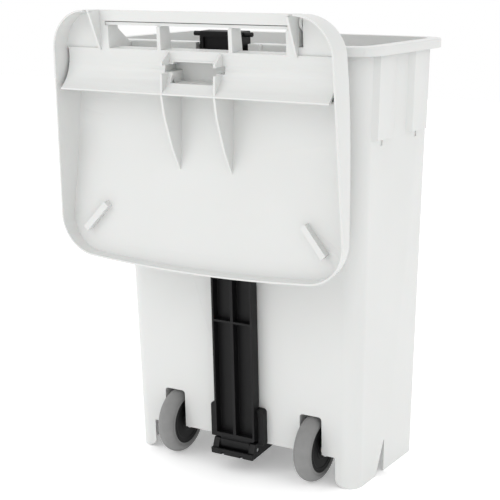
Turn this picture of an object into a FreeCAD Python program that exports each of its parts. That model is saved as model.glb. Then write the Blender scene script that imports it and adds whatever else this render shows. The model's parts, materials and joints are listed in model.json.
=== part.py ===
"""Pedal linen trolley: a tapered moulded tub on two rear wheels, with a lift-over lid.

Millimetres, +Z up, the pedal at the front (-Y), the wheels, rod and lid hinge at the rear (+Y).
The parts are drawn with y = 0 on the outside of the rear wall at rim height and z = 0 on the
floor, and everything moves along Y at the end so that the origin is under the middle of the
whole object.
"""
import FreeCAD, Part
import math
import os
from FreeCAD import Vector

# ---- driving dimensions ------------------------------------------------------------------
# tub
RIM_Z = 780.0             # top of the rim above the floor
TOP_HALF_WIDTH = 252.6    # outside, just under the rim
TOP_DEPTH = 284.0         # outside, rear wall to front corners
SIDE_DRAFT = 19.6         # how far each side leans in from rim to floor
REAR_DRAFT = 27.7
FRONT_DRAFT = 7.3
TOP_RADIUS = 36.0         # upright corners at the rim
FOOT_RADIUS = 28.0        # upright corners at the floor
FRONT_BOW = 12.0          # how far the front bulges in the middle
WALL = 3.2
FLOOR_Z = 128.0           # underside of the tub's floor
FLOOR_THICK = 4.0
# rim
RIM_OVERHANG = 20.8
RIM_HEIGHT = 16.0
RIM_PLATE = 3.6
RIM_SKIRT = 3.0
RIM_RADIUS = 58.0
# lid
LID_REAR_IN = 3.4         # lid's rear corners in from the rim's sides
LID_FRONT_OUT = 10.6      # its front corners out from them
LID_REAR_OUT = 122.2      # lid's rear edge behind the rear wall
LID_FRONT_LIP = 2.0       # lid edge in front of the rim
LID_CORNER = 70.0
LID_FRONT_BOW = 15.0
LID_WALL = 3.0
LID_REAR_HEIGHT = 62.0
LID_FRONT_HEIGHT = 21.0
LID_DRAFT = 6.0           # lean of the lid's skirt over its height
LID_GAP = 1.0             # closed lid above the rim
# hinge
HINGE_UP = 41.3           # axis above the lid's lower edge
HINGE_IN = 16.5           # axis in from the lid's rear edge
HINGE_FROM_SIDE = 71.5    # middle of each hinge arm, in from the lid's rear corner
ARM_THICK = 5.0
ARM_SLOT_GAP = 1.6        # lid slot beside the arm, each side
ARM_SLOT_REACH = 38.0     # lid slot ahead of the axis
KNUCKLE_RADIUS = 10.5
HINGE_PIN_RADIUS = 4.0
OPEN_ANGLE = 273.7        # closed to hanging behind the tub
# handle in the lid
HANDLE_TO_HINGE = 8.5     # end of the handle to the middle of a hinge arm
HANDLE_BAR = 21.0         # depth of the bar
HANDLE_GROOVE = 1.6       # between the bar and its inner lip
HANDLE_LIP = 5.0
HANDLE_RECESS = 29.0      # underside of the handle above the lid's lower edge
WINDOW_FRONT = 67.0       # front lip of the finger windows, from the lid's rear edge
POST_IN_X = 70.0
POST_FROM_END = 13.0      # outer posts in from the handle's ends
POST_THICK = 7.0
SEAL_RIB_FROM_REAR = 137.0
# rod and head
ROD_WIDTH = 84.0
ROD_THICK = 20.0
ROD_STANDOFF = 4.0        # from the rear wall
ROD_FOOT_Z = 62.5         # lower end of the wide part
HEAD_PIN_RADIUS = 4.0
HEAD_PIN_OUT = 16.0       # how far the pin stands out of the head, each side
HEAD_PIN_UP = 16.0        # above the rim
HEAD_PIN_OFF = 25.0       # from the rear wall
# pedal lever
PIVOT_FROM_FRONT = 49.0   # pivot to the tub's front corners at rim height
PIVOT_Z = 70.0
FOOT_PIN_IN = 10.0        # foot pin in from the rear wall at rim height, lever level
LEVER_REST = 6.0          # degrees below level at rest
LEVER_TRAVEL = 9.6
LEVER_OVER_ROD = 2.0      # lever wider than the rod, each side
LEVER_HEIGHT = 26.0
FOOT_PIN_RADIUS = 4.0
LEVER_AXLE_RADIUS = 5.0
PEDAL_WIDTH = 150.0
PEDAL_DEPTH = 62.0
PEDAL_OUT = 50.0          # how far the pedal stands out of the front wall
# wheels
WHEEL_RADIUS = 62.5
WHEEL_WIDTH = 33.0
WHEEL_FROM_SIDE = 87.7    # middle of each wheel in from the tub's side at the floor
WHEEL_FROM_REAR = 42.0
HUB_RADIUS = 44.0
AXLE_RADIUS = 6.0
WELL_OVER = 2.0           # over the wheel
WELL_AHEAD = 7.5          # in front of it
WELL_FREE = 5.5           # beside it
# clearances
RUNNING = 0.05            # radial, shaft in a running bore
LOOSE = 0.6               # sliding faces
CLEAR = 0.5               # free faces between bodies

# ---- positions that follow ---------------------------------------------------------------
REAR_SLOPE = REAR_DRAFT / RIM_Z
RIM_REAR_Y = RIM_OVERHANG
RIM_FRONT_Y = -TOP_DEPTH - FRONT_BOW - RIM_OVERHANG
LID_Z = RIM_Z + LID_GAP
LID_FRONT_Y = RIM_FRONT_Y - LID_FRONT_LIP
LID_REAR_Y = LID_REAR_OUT
LID_REAR_HALF = TOP_HALF_WIDTH + RIM_OVERHANG - LID_REAR_IN
LID_FRONT_HALF = TOP_HALF_WIDTH + RIM_OVERHANG + LID_FRONT_OUT
HINGE_X = LID_REAR_HALF - HINGE_FROM_SIDE
HANDLE_HALF = HINGE_X - HANDLE_TO_HINGE
POST_X = (POST_IN_X, HANDLE_HALF - POST_FROM_END)
HINGE_Y = LID_REAR_Y - HINGE_IN
HINGE_Z = LID_Z + HINGE_UP
WHEEL_X = TOP_HALF_WIDTH - SIDE_DRAFT - WHEEL_FROM_SIDE
WHEEL_Y = -WHEEL_FROM_REAR
WHEEL_Z = WHEEL_RADIUS
PIVOT_Y = -TOP_DEPTH + PIVOT_FROM_FRONT
LEVER_REACH = -FOOT_PIN_IN - PIVOT_Y
LEVER_WIDTH = ROD_WIDTH + 2 * LEVER_OVER_ROD
HEAD_PIN_HALF = ROD_WIDTH / 2 + HEAD_PIN_OUT
HEAD_PIN_Z = RIM_Z + HEAD_PIN_UP
WELL_HALF = WHEEL_WIDTH / 2 + WELL_FREE
WELL_TOP_Z = WHEEL_Z + WHEEL_RADIUS + WELL_OVER
X_AXIS = Vector(1, 0, 0)
Y_AXIS = Vector(0, 1, 0)
Z_AXIS = Vector(0, 0, 1)

# ---- sizes of each part's details ----------------------------------------------------------
# the tub
FLUTE_LENGTH = 158.0       # below the rim
FLUTE_Z = RIM_Z - FLUTE_LENGTH
FLUTE_HALF = 30.0
FLUTE_SLOPE = 11.0
FLUTE_PROUD = 8.5
FLUTE_Y = (-76.0, -214.0)
BRACKET_HALF = TOP_HALF_WIDTH + 2.4    # outer end of the hinge brackets under the rim
HEAD_NOTCH = ROD_WIDTH / 2 + 6.0       # half the rim notch that the rod rises through
REAR_CUT_Z = 56.6          # lower edge of the rear wall
FOOT_X = TOP_HALF_WIDTH - SIDE_DRAFT - 39.0    # inner edge of each rear foot
FRONT_ARCH_HALF = 98.0
FRONT_ARCH_Z = 106.0
LEVER_CUT_HALF = LEVER_WIDTH / 2 + 2.5
LEVER_CUT_Z = 112.0
WELL_WALL = 4.4
WELL_DEPTH = WHEEL_FROM_REAR + WHEEL_RADIUS + WELL_AHEAD
WELL_FOOT_Z = 52.0         # lower end of the wheel well's side plates
WELL_REAR = 33.0           # rear end of their lowest part, from the rear wall at rim height
WINDOW_ROUND = 6.0
# hinge brackets
BEAM_Z = RIM_Z - RIM_HEIGHT
ARM_ROOT_Z = RIM_Z - 30.0
CHEEK_IN = HEAD_NOTCH + 4.0
CHEEK_OUT = CHEEK_IN + 21.0
CHEEK_REAR = 31.0
BRACKET_GAP = 0.2          # between the bracket and the wall, rim skirt and notch
SCREW_X = (CHEEK_OUT + 32.0, HINGE_X - 38.5, HINGE_X + 29.5)
SCREW_Y = 9.0
SCREW_RADIUS = 2.0
SCREW_HEAD = 4.0
SCREW_LENGTH = 13.0
# the lid
RIB_TIP_HALF = LID_REAR_HALF - 8.0
EAR_FLOOR = 32.0           # underside of each rear corner above the lid's lower edge
RAMP_BULGE = 11.0
RIB_LAND = 2.6             # flat lower edge of the sealing rib
RAMP_FOOT = 9.6            # upright thickness where the steep end of the ramp meets the rib
GUSSET_X = ROD_WIDTH / 2 + 10.0
GUSSET_THICK = 4.0
GUSSET_RUN = 144.0
HOOK_SLOT = 10.0           # width of the hooks' mouth for the head's cross pin
POCKET_GAP = 1.0
POCKET_LINING = 2.4
HEAD_FRONT = 9.0           # head block behind its pin
HEAD_OVER = 5.0            # head block above its pin
POCKET_TOP = LID_Z + LID_REAR_HEIGHT - LID_WALL - 1.5
# lift rod and head
ROD_TOP_Z = RIM_Z - 28.0
ROD_FLANGE = 4.0
ROD_RIB = 6.0
ROD_WEB = 5.0
ROD_CROSS_Z = (285.0, 507.0)
FOOT_HALF = LEVER_WIDTH / 2 - 13.0
FOOT_PIN_Y = PIVOT_Y + LEVER_REACH * math.cos(math.radians(LEVER_REST))
FOOT_PIN_Z = PIVOT_Z - LEVER_REACH * math.sin(math.radians(LEVER_REST))
# rod guides on the rear wall
GUIDE_SCREW = 2.2
LOW_GUIDE_Z = 124.0
LOW_SCREW_X = 25.0
LOW_SCREW_Z = 118.0
LOW_GUIDE_WALL = 13.0
TOP_SCREW_Z = RIM_Z - 126.0
STRAP_HEIGHT = 28.0
SCREW_GRIP = 2.3           # how far the guide screws reach into the tub's wall
PILOT_GAP = 0.2            # between a screw and its hole in the tub
# pedal lever
BLOCK_INNER = LEVER_WIDTH / 2 - 10.0
BLOCK_THICK = 14.0
LEVER_WALL = 4.0
FORK_ROOM = 17.0           # half the opening around the rod's foot
FORK_BACK = 2 * FORK_ROOM + 2 * LEVER_WALL
REAR_LIP = 11.0            # height of the lever's low rear end
PEDAL_FRONT_Y = -TOP_DEPTH - FRONT_BOW + FRONT_DRAFT - PEDAL_OUT
# wheels
BUSH_RADIUS = 8.5
BARREL_RADIUS = 13.5
CAP_THICK = 3.0
NUT_GRIP = 6.0             # how far an axle stands out for its push nut
CAP_RADIUS = HUB_RADIUS - 5.0


# ---- small helpers -----------------------------------------------------------------------
def box(x0, x1, y0, y1, z0, z1):
    """A box between two corners, given in any order."""
    return Part.makeBox(abs(x1 - x0), abs(y1 - y0), abs(z1 - z0),
                        Vector(min(x0, x1), min(y0, y1), min(z0, z1)))


def rod_x(x0, x1, y, z, radius):
    """A round bar along X."""
    return Part.makeCylinder(radius, abs(x1 - x0), Vector(min(x0, x1), y, z), X_AXIS)


def plate_x(points, x0, x1):
    """A flat plate with a Y-Z outline, thick along X."""
    low = min(x0, x1)
    ring = [Vector(low, y, z) for y, z in points]
    return Part.Face(Part.makePolygon(ring + ring[:1])).extrude(Vector(abs(x1 - x0), 0, 0))


def plate_y(points, y0, y1):
    """A flat plate with an X-Z outline, thick along Y."""
    low = min(y0, y1)
    ring = [Vector(x, low, z) for x, z in points]
    return Part.Face(Part.makePolygon(ring + ring[:1])).extrude(Vector(0, abs(y1 - y0), 0))


def fused(shapes):
    """One solid from touching shapes."""
    whole = shapes[0]
    for shape in shapes[1:]:
        whole = whole.fuse(shape)
    return whole.removeSplitter()


def rounded(shape, radius, wanted):
    """Round the edges for which wanted(edge) is true."""
    edges = [edge for edge in shape.Edges if wanted(edge)]
    return shape.makeFillet(radius, edges) if edges else shape


def outline(z, rear_half, front_half, y_rear, y_front, rear_radius, front_radius, bow):
    """A level ring: straight rear and sides, a bowed front, four round corners."""
    big = (front_half ** 2 + bow ** 2) / (2.0 * bow)
    bow_centre = y_front + big
    # the side runs from (rear_half, y_rear) to (front_half, y_front + bow)
    run = Vector(front_half - rear_half, y_front + bow - y_rear, 0).normalize()
    inward = Vector(run.y, -run.x, 0)
    corner = Vector(rear_half, y_rear, 0)
    # rear corner: tangent to the rear line and to the side
    t = (-rear_radius - inward.y * rear_radius) / run.y
    rear_c = corner + run * t + inward * rear_radius
    rear_side = rear_c - inward * rear_radius
    rear_back = Vector(rear_c.x, y_rear, 0)
    # front corner: tangent to the side and, from inside, to the bowed front
    start = corner + inward * front_radius - Vector(0, bow_centre, 0)
    b = start.dot(run)
    c = start.dot(start) - (big - front_radius) ** 2
    front_c = corner + inward * front_radius + run * (-b + math.sqrt(b * b - c))
    front_side = front_c - inward * front_radius
    away = (front_c - Vector(0, bow_centre, 0)).normalize()
    front_bow_end = front_c + away * front_radius

    def mid(centre, p, q, radius):
        half = ((p - centre).normalize() + (q - centre).normalize()).normalize()
        return centre + half * radius

    def up(p, side=1):
        return Vector(side * p.x, p.y, z)

    rear_mid = mid(rear_c, rear_side, rear_back, rear_radius)
    front_mid = mid(front_c, front_side, front_bow_end, front_radius)
    edges = [
        Part.Arc(up(front_bow_end, -1), Vector(0, y_front, z), up(front_bow_end)).toShape(),
        Part.Arc(up(front_bow_end), up(front_mid), up(front_side)).toShape(),
        Part.LineSegment(up(front_side), up(rear_side)).toShape(),
        Part.Arc(up(rear_side), up(rear_mid), up(rear_back)).toShape(),
        Part.LineSegment(up(rear_back), up(rear_back, -1)).toShape(),
        Part.Arc(up(rear_back, -1), up(rear_mid, -1), up(rear_side, -1)).toShape(),
        Part.LineSegment(up(rear_side, -1), up(front_side, -1)).toShape(),
        Part.Arc(up(front_side, -1), up(front_mid, -1), up(front_bow_end, -1)).toShape(),
    ]
    return Part.Wire(edges)


def loft(low, high):
    """A closed solid between two level rings."""
    return Part.makeLoft([low, high], True, True)


# ---- the tub -----------------------------------------------------------------------------
def tub_ring(z, inset):
    """The tub's outside at height z, moved in by inset (a negative inset moves it out)."""
    low = 1.0 - z / RIM_Z
    half = TOP_HALF_WIDTH - SIDE_DRAFT * low - inset
    radius = TOP_RADIUS + (FOOT_RADIUS - TOP_RADIUS) * low - inset
    return outline(z, half, half, -REAR_DRAFT * low - inset,
                   -TOP_DEPTH - FRONT_BOW + FRONT_DRAFT * low + inset,
                   radius, radius, FRONT_BOW)


def tub_half(z):
    """Half the tub's outside width at height z."""
    return TOP_HALF_WIDTH - SIDE_DRAFT * (1.0 - z / RIM_Z)


def rear_wall_y(z):
    """The outside of the rear wall at height z."""
    return -REAR_SLOPE * (RIM_Z - z)


def rim_ring(z, inset):
    half = TOP_HALF_WIDTH + RIM_OVERHANG - inset
    radius = RIM_RADIUS - inset
    return outline(z, half, half, RIM_REAR_Y - inset, RIM_FRONT_Y + inset, radius, radius, FRONT_BOW)


def flute(side, y_mid):
    """A raised upright flute under the rim, with sloping flanks."""
    rings = []
    for z in (FLUTE_Z, RIM_Z - RIM_PLATE):
        wall = tub_half(z)
        points = [(wall - 1.0, y_mid - FLUTE_HALF - FLUTE_SLOPE), (wall + FLUTE_PROUD, y_mid - FLUTE_HALF),
                  (wall + FLUTE_PROUD, y_mid + FLUTE_HALF), (wall - 1.0, y_mid + FLUTE_HALF + FLUTE_SLOPE)]
        ring = [Vector(side * x, y, z) for x, y in points]
        rings.append(Part.makePolygon(ring + ring[:1]))
    return loft(*rings)


def flute_pocket(side, y_mid):
    """The small blind pocket under a flute."""
    wall = tub_half(FLUTE_Z)
    return box(side * (wall - 2.0), side * (wall + 1.0), y_mid - 6.0, y_mid + 2.0, FLUTE_Z - 12.0, FLUTE_Z)


def well_block(side, inner):
    """A wheel well: its outside, or the clear space inside it."""
    half = WELL_HALF if inner else WELL_HALF + WELL_WALL
    top = WELL_TOP_Z if inner else WELL_TOP_Z + WELL_WALL
    front = -WELL_DEPTH if inner else -WELL_DEPTH - WELL_WALL
    rear = 40.0 if inner else rear_wall_y(REAR_CUT_Z) - WALL / 2
    low = -1.0 if inner else WELL_FOOT_Z
    near, far = side * (WHEEL_X - half), side * (WHEEL_X + half)
    block = box(near, far, front, rear, low, top)
    if inner:
        return rounded(block, WINDOW_ROUND, lambda e: e.BoundBox.ZMin > top - 0.1 and e.BoundBox.YLength > 100)
    return block.cut(box(near - side, far + side, -WELL_REAR, rear + 1, 0, REAR_CUT_Z))


def make_tub():
    top = RIM_Z + 1.0
    shell = loft(tub_ring(0.0, 0.0), tub_ring(RIM_Z, 0.0))
    rim = loft(rim_ring(RIM_Z - RIM_HEIGHT, 0.0), rim_ring(RIM_Z, 0.0))
    rim = rounded(rim, 2.5, lambda e: abs(e.BoundBox.ZMin - RIM_Z) < 0.01)
    rim = rim.cut(loft(rim_ring(RIM_Z - RIM_HEIGHT - 1.0, RIM_SKIRT), rim_ring(RIM_Z - RIM_PLATE, RIM_SKIRT)))
    flutes = [flute(side, y) for side in (-1, 1) for y in FLUTE_Y]
    tub = shell.fuse([rim] + flutes)
    floor_top = FLOOR_Z + FLOOR_THICK
    tub = tub.cut(loft(tub_ring(floor_top, WALL), tub_ring(top, WALL)))
    tub = tub.cut(loft(tub_ring(-1.0, WALL), tub_ring(FLOOR_Z, WALL)))
    # wheel wells, closed towards the tub and open to the rear
    for side in (-1, 1):
        tub = tub.fuse(well_block(side, False))
        tub = tub.cut(well_block(side, True))
        tub = tub.cut(rod_x(side * (WHEEL_X - 40), side * (WHEEL_X + 40), WHEEL_Y, WHEEL_Z, AXLE_RADIUS))
    # lower edges: rear cut between the feet, lever slot, front arch, side vees, small pockets
    behind = rear_wall_y(0.0) - WALL - 1.0
    middle = WHEEL_X - WELL_HALF + 1
    cuts = [box(-middle, middle, behind, 5, -1, REAR_CUT_Z),
            box(-LEVER_CUT_HALF, LEVER_CUT_HALF, behind, 5, -1, LEVER_CUT_Z),
            box(-FRONT_ARCH_HALF, FRONT_ARCH_HALF, -TOP_DEPTH - 40, -TOP_DEPTH + 14, -1, FRONT_ARCH_Z)]
    for side in (-1, 1):
        edge = WHEEL_X + WELL_HALF - 1
        foot = [(edge, REAR_CUT_Z), (FOOT_X, REAR_CUT_Z), (FOOT_X, 14), (FOOT_X + 3, 8),
                (FOOT_X + 10, 4), (FOOT_X + 30, 0), (FOOT_X + 30, -1), (edge, -1)]
        foot = [(side * x, z) for x, z in foot]
        cuts.append(plate_y(foot, behind, 5))
        foot = tub_half(0.0)
        cuts.append(plate_x([(-110, -1), (-138.5, 61), (-141.5, 61), (-142.5, -1)],
                            side * (foot - 18), side * (foot + 17)))
        cuts += [flute_pocket(side, y) for y in FLUTE_Y]
    # the rim: rod notch, and room under the plate for the hinge brackets
    cuts.append(box(-HEAD_NOTCH, HEAD_NOTCH, CLEAR, 40, RIM_Z - RIM_HEIGHT - 1, top))
    cuts.append(box(-BRACKET_HALF, BRACKET_HALF, 0, 40, RIM_Z - RIM_HEIGHT - 1, RIM_Z - RIM_PLATE))
    cuts += bracket_screw_shapes(0.0) + guide_screw_holes() + block_screw_holes()
    for cut in cuts:
        tub = tub.cut(cut)
    return tub.removeSplitter()


# ---- hinge brackets ----------------------------------------------------------------------
def make_bracket(side):
    """A beam under the rim's rear plate, with a guide cheek for the head and a hinge arm."""
    top = RIM_Z - RIM_PLATE
    front = BRACKET_GAP
    end = BRACKET_HALF - BRACKET_GAP
    beam = box(side * CHEEK_IN, side * end, front, RIM_REAR_Y, BEAM_Z, top)
    beam = beam.common(loft(rim_ring(BEAM_Z, 0.0), rim_ring(RIM_Z, 0.0)))
    for x0, x1 in ((CHEEK_OUT + 4, SCREW_X[0] - 5), (SCREW_X[0] + 5, SCREW_X[1] - 5),
                   (SCREW_X[1] + 5, HINGE_X - 8), (HINGE_X + 8, SCREW_X[2] - 5)):
        pocket = box(side * x0, side * x1, front + 3.5, RIM_REAR_Y - 3.5, BEAM_Z - 1, top - 4)
        beam = beam.cut(pocket.common(loft(rim_ring(BEAM_Z - 1, 3.5), rim_ring(RIM_Z, 3.5))))
    cheek = box(side * CHEEK_IN, side * CHEEK_OUT, front, CHEEK_REAR, BEAM_Z - 30, top)
    cheek = cheek.fuse(box(side * CHEEK_IN, side * CHEEK_OUT, RIM_REAR_Y + 0.2, CHEEK_REAR, top, RIM_Z))
    inner = side * (HINGE_X - ARM_THICK / 2)
    outer = side * (HINGE_X + ARM_THICK / 2)
    slope = math.atan2(HINGE_Z - top, HINGE_Y - RIM_REAR_Y)
    side_y, side_z = math.sin(slope) * KNUCKLE_RADIUS, math.cos(slope) * KNUCKLE_RADIUS
    arm = plate_x([(front, ARM_ROOT_Z), (front, top),
                   (RIM_REAR_Y + 2, top), (HINGE_Y - side_y, HINGE_Z + side_z),
                   (HINGE_Y + side_y, HINGE_Z - side_z), (RIM_REAR_Y + 12, ARM_ROOT_Z)], inner, outer)
    arm = arm.fuse(rod_x(inner, outer, HINGE_Y, HINGE_Z, KNUCKLE_RADIUS))
    arm = arm.cut(rod_x(inner - side, outer + side, HINGE_Y, HINGE_Z, HINGE_PIN_RADIUS + RUNNING))
    bracket = fused([beam, cheek, arm])
    for screw in bracket_screw_shapes(1.0):
        bracket = bracket.cut(screw)
    return bracket


def bracket_screw_shapes(deeper):
    """Countersunk screws down through the rim plate; deeper adds room under their points."""
    screws = []
    for side in (-1, 1):
        for x in SCREW_X:
            at = Vector(side * x, SCREW_Y, 0)
            head = Part.makeCone(SCREW_RADIUS, SCREW_HEAD, 2.2, at + Vector(0, 0, RIM_Z - 2.2), Z_AXIS)
            length = SCREW_LENGTH + deeper
            shank = Part.makeCylinder(SCREW_RADIUS, length, at + Vector(0, 0, RIM_Z - length), Z_AXIS)
            screws.append(head.fuse(shank).removeSplitter())
    return screws


# ---- the lid, drawn closed and then swung to where it hangs --------------------------------
def lid_ring(z, inset, lean):
    """The lid's plan outline, inset all round; lean is the draft already taken."""
    move = inset + lean
    return outline(z, LID_REAR_HALF - move, LID_FRONT_HALF - move, LID_REAR_Y - move,
                   LID_FRONT_Y + move, LID_CORNER - move, LID_CORNER - move, LID_FRONT_BOW)


def lid_side_profile(drop):
    """The side view under the lid's crown, lowered by drop."""
    z0 = LID_Z - drop
    rear = Vector(0, LID_REAR_Y + 5, z0 + LID_REAR_HEIGHT - 12)
    high = Vector(0, LID_REAR_Y - 90, z0 + LID_REAR_HEIGHT)
    ahead = Vector(0, LID_REAR_Y - 250, z0 + LID_REAR_HEIGHT - 11)
    nose = Vector(0, LID_FRONT_Y - 5, z0 + LID_FRONT_HEIGHT)
    crown = Part.BSplineCurve()
    crown.interpolate([rear, high, ahead, nose])
    base = LID_Z - 40
    edges = [crown.toShape(),
             Part.LineSegment(nose, Vector(0, nose.y, base)).toShape(),
             Part.LineSegment(Vector(0, nose.y, base), Vector(0, rear.y, base)).toShape(),
             Part.LineSegment(Vector(0, rear.y, base), rear).toShape()]
    face = Part.Face(Part.Wire(edges))
    face.translate(Vector(-400, 0, 0))
    return face.extrude(Vector(800, 0, 0))


def lid_block(inset, drop, low):
    """The lid's outside (no inset, no drop) or the hollow inside it."""
    high = LID_Z + LID_REAR_HEIGHT + 6
    height = high - LID_Z
    block = loft(lid_ring(LID_Z - low, inset, -LID_DRAFT * low / height), lid_ring(high, inset, LID_DRAFT))
    return block.common(lid_side_profile(drop))


def ramp_body(back_y, front_y, lip_z, half):
    """The curved panel behind the sealing rib, as a solid prism between rib and window lip."""
    tip = Vector(-half, front_y + RIB_LAND, LID_Z + 1.0)
    lip = Vector(-half, back_y, lip_z)
    chord = lip - tip
    normal = Vector(0, -chord.z, chord.y).normalize()
    middle = (tip + lip) * 0.5 + normal * RAMP_BULGE
    top = LID_Z + LID_REAR_HEIGHT + 10
    land = tip - Vector(0, RIB_LAND, 0)
    edges = [Part.Arc(tip, middle, lip).toShape(),
             Part.LineSegment(lip, Vector(-half, back_y, top)).toShape(),
             Part.LineSegment(Vector(-half, back_y, top), Vector(-half, front_y, top)).toShape(),
             Part.LineSegment(Vector(-half, front_y, top), land).toShape(),
             Part.LineSegment(land, tip).toShape()]
    return Part.Face(Part.Wire(edges)).extrude(Vector(2 * half, 0, 0))


def make_lid():
    outer = lid_block(0.0, 0.0, 0.0)
    outer = rounded(outer, 9.0, lambda e: e.BoundBox.ZMin > LID_Z + 8 and e.Length > 20)
    hollow = lid_block(LID_WALL, LID_WALL, 2.0)
    shell = outer.cut(hollow)
    window_y = LID_REAR_Y - WINDOW_FRONT
    rib_y = LID_REAR_Y - SEAL_RIB_FROM_REAR
    recess_z = LID_Z + HANDLE_RECESS
    # ramp and sealing rib: a hollow box section across the lid
    ramp = ramp_body(window_y, rib_y, recess_z, RIB_TIP_HALF)
    inside = ramp_body(window_y - LID_WALL, rib_y + LID_WALL, recess_z + LID_WALL - RAMP_FOOT, RIB_TIP_HALF + 20)
    inside.translate(Vector(0, 0, RAMP_FOOT))
    body = shell.fuse(ramp.cut(inside).common(outer))
    # handle: bar, posts and side plates between the two rear corners
    groove_y = LID_REAR_Y - HANDLE_BAR
    bar_y = groove_y - HANDLE_GROOVE - HANDLE_LIP
    whole = outer.common(box(-HANDLE_HALF - 4, HANDLE_HALF + 4, window_y - 1, LID_REAR_Y + 1, recess_z, 1000))
    gaps = []
    stops = [-HANDLE_HALF + 2, -POST_X[1], -POST_X[0], POST_X[0], POST_X[1], HANDLE_HALF - 2]
    for left, right in zip(stops[1:-2], stops[2:-1]):
        gaps.append(box(left + POST_THICK / 2, right - POST_THICK / 2, window_y, bar_y, 700, 1000))
    reach = POST_X[1] + 3
    groove = box(-reach, reach, groove_y - HANDLE_GROOVE, groove_y, recess_z - 1, recess_z + 14)
    lip_step = box(-reach, reach, bar_y - 1, groove_y, recess_z - 1, recess_z + 3)
    handle = whole
    for gap in gaps + [groove, lip_step]:
        handle = handle.cut(gap)
    clear_below = box(-HANDLE_HALF, HANDLE_HALF, window_y, LID_REAR_Y + 5, LID_Z - 50, recess_z)
    body = body.cut(clear_below)
    for gap in gaps:
        body = body.cut(gap)
    plates = []
    for side in (-1, 1):
        low = [(window_y - 3, recess_z - 2), (LID_REAR_Y - 4, LID_Z + 0.5), (LID_REAR_Y - 4, 1000),
               (window_y - 3, 1000)]
        plates.append(plate_x(low, side * HANDLE_HALF, side * (HANDLE_HALF + 4)).common(outer))
        plates.append(box(side * HANDLE_HALF, side * LID_FRONT_HALF, window_y - 2, LID_REAR_Y + 1,
                          LID_Z + EAR_FLOOR, 1000).common(outer))
    body = fused([body, handle] + plates)
    # slots for the hinge arms and bores for the pins
    reach = ARM_THICK / 2 + ARM_SLOT_GAP
    for side in (-1, 1):
        body = body.cut(box(side * (HINGE_X - reach), side * (HINGE_X + reach),
                            HINGE_Y - ARM_SLOT_REACH, LID_REAR_Y + 10, LID_Z - 10, 1000))
        body = body.cut(rod_x(side * (HANDLE_HALF - 1), side * (HINGE_X + 12), HINGE_Y, HINGE_Z, HINGE_PIN_RADIUS))
    # gussets before and behind the rib, the rear ones with a hook for the head pins
    rib_low = LID_Z + 1.5
    for side in (-1, 1):
        x0, x1 = side * (GUSSET_X - GUSSET_THICK / 2), side * (GUSSET_X + GUSSET_THICK / 2)
        tip_y = rib_y - GUSSET_RUN
        ahead = plate_x([(rib_y + 1, rib_low), (rib_y - 36, LID_Z + 7), (rib_y - 92, LID_Z + 25),
                         (tip_y, LID_Z + 49), (tip_y, LID_Z + 60), (rib_y + 1, LID_Z + 60)], x0, x1)
        hook = plate_x([(rib_y - 1, rib_low), (HEAD_PIN_OFF - 12, rib_low + 3), (HEAD_PIN_OFF + 14, LID_Z + 7),
                        (window_y - 1, recess_z + 1), (window_y - 1, LID_Z + 60), (rib_y - 1, LID_Z + 60)], x0, x1)
        fins = ahead.fuse(hook).common(outer)
        body = body.fuse(fins)
        # diagonal stiffener in each front corner
        rib = plate_x([(-32, LID_Z + 12), (30, LID_Z + 21), (30, LID_Z + 80), (-32, LID_Z + 80)], -5.5, 5.5)
        rib.rotate(Vector(0, 0, 0), Z_AXIS, side * 42)
        rib.translate(Vector(side * (LID_FRONT_HALF - 66), LID_FRONT_Y + 78, 0))
        body = body.fuse(rib.common(outer))
    # lined pockets for the head and its cross pin, tall enough for the rod's whole travel
    rooms = ((ROD_WIDTH / 2 + POCKET_GAP, ROD_STANDOFF - 1, HEAD_PIN_OFF + HEAD_FRONT + 3),
             (HEAD_PIN_HALF + POCKET_GAP, HEAD_PIN_OFF - HOOK_SLOT / 2, HEAD_PIN_OFF + HOOK_SLOT / 2 + 3))
    for half, y0, y1 in rooms:
        wall = half + POCKET_LINING
        lining = box(-wall, wall, y0 - POCKET_LINING, y1 + POCKET_LINING, recess_z, POCKET_TOP + 2)
        body = body.fuse(lining.common(outer))
    for half, y0, y1 in rooms:
        body = body.cut(box(-half, half, y0, y1, LID_Z - 20, POCKET_TOP))
    return body.removeSplitter()


def make_hinge_pin(side):
    return rod_x(side * (HANDLE_HALF + 0.5), side * (HINGE_X + 11), HINGE_Y, HINGE_Z, HINGE_PIN_RADIUS)


def hung(shape):
    """Swing a lid part from closed to hanging behind the tub."""
    return shape.rotated(Vector(0, HINGE_Y, HINGE_Z), X_AXIS, -OPEN_ANGLE)


# ---- lift rod and head, upright along the sloping rear wall ------------------------------
def along_wall(shape):
    """Lean an upright shape to lie along the rear wall: sheared as a turn about the rim line."""
    return shape.rotated(Vector(0, 0, RIM_Z), X_AXIS, -math.degrees(math.atan(REAR_SLOPE)))


def make_rod():
    """A wide moulded rod, open to the rear in two long bays with cross ribs."""
    half = ROD_WIDTH / 2
    y0, y1 = ROD_STANDOFF, ROD_STANDOFF + ROD_THICK
    rod = box(-half, half, y0, y1, ROD_FOOT_Z, ROD_TOP_Z)
    rod = rounded(rod, 5.0, lambda e: abs(e.BoundBox.ZMax - ROD_FOOT_Z) < 0.01 and e.BoundBox.YLength > 5)
    bay_in, bay_out = ROD_RIB / 2, half - ROD_FLANGE
    stops = [ROD_FOOT_Z + 6] + list(ROD_CROSS_Z) + [ROD_TOP_Z - 6]
    for side in (-1, 1):
        for low, high in zip(stops[:-1], stops[1:]):
            rod = rod.cut(box(side * bay_in, side * bay_out, y0 + ROD_WEB, y1 + 1, low + 2, high - 2))
    return fused([along_wall(rod), rod_foot()])


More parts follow.
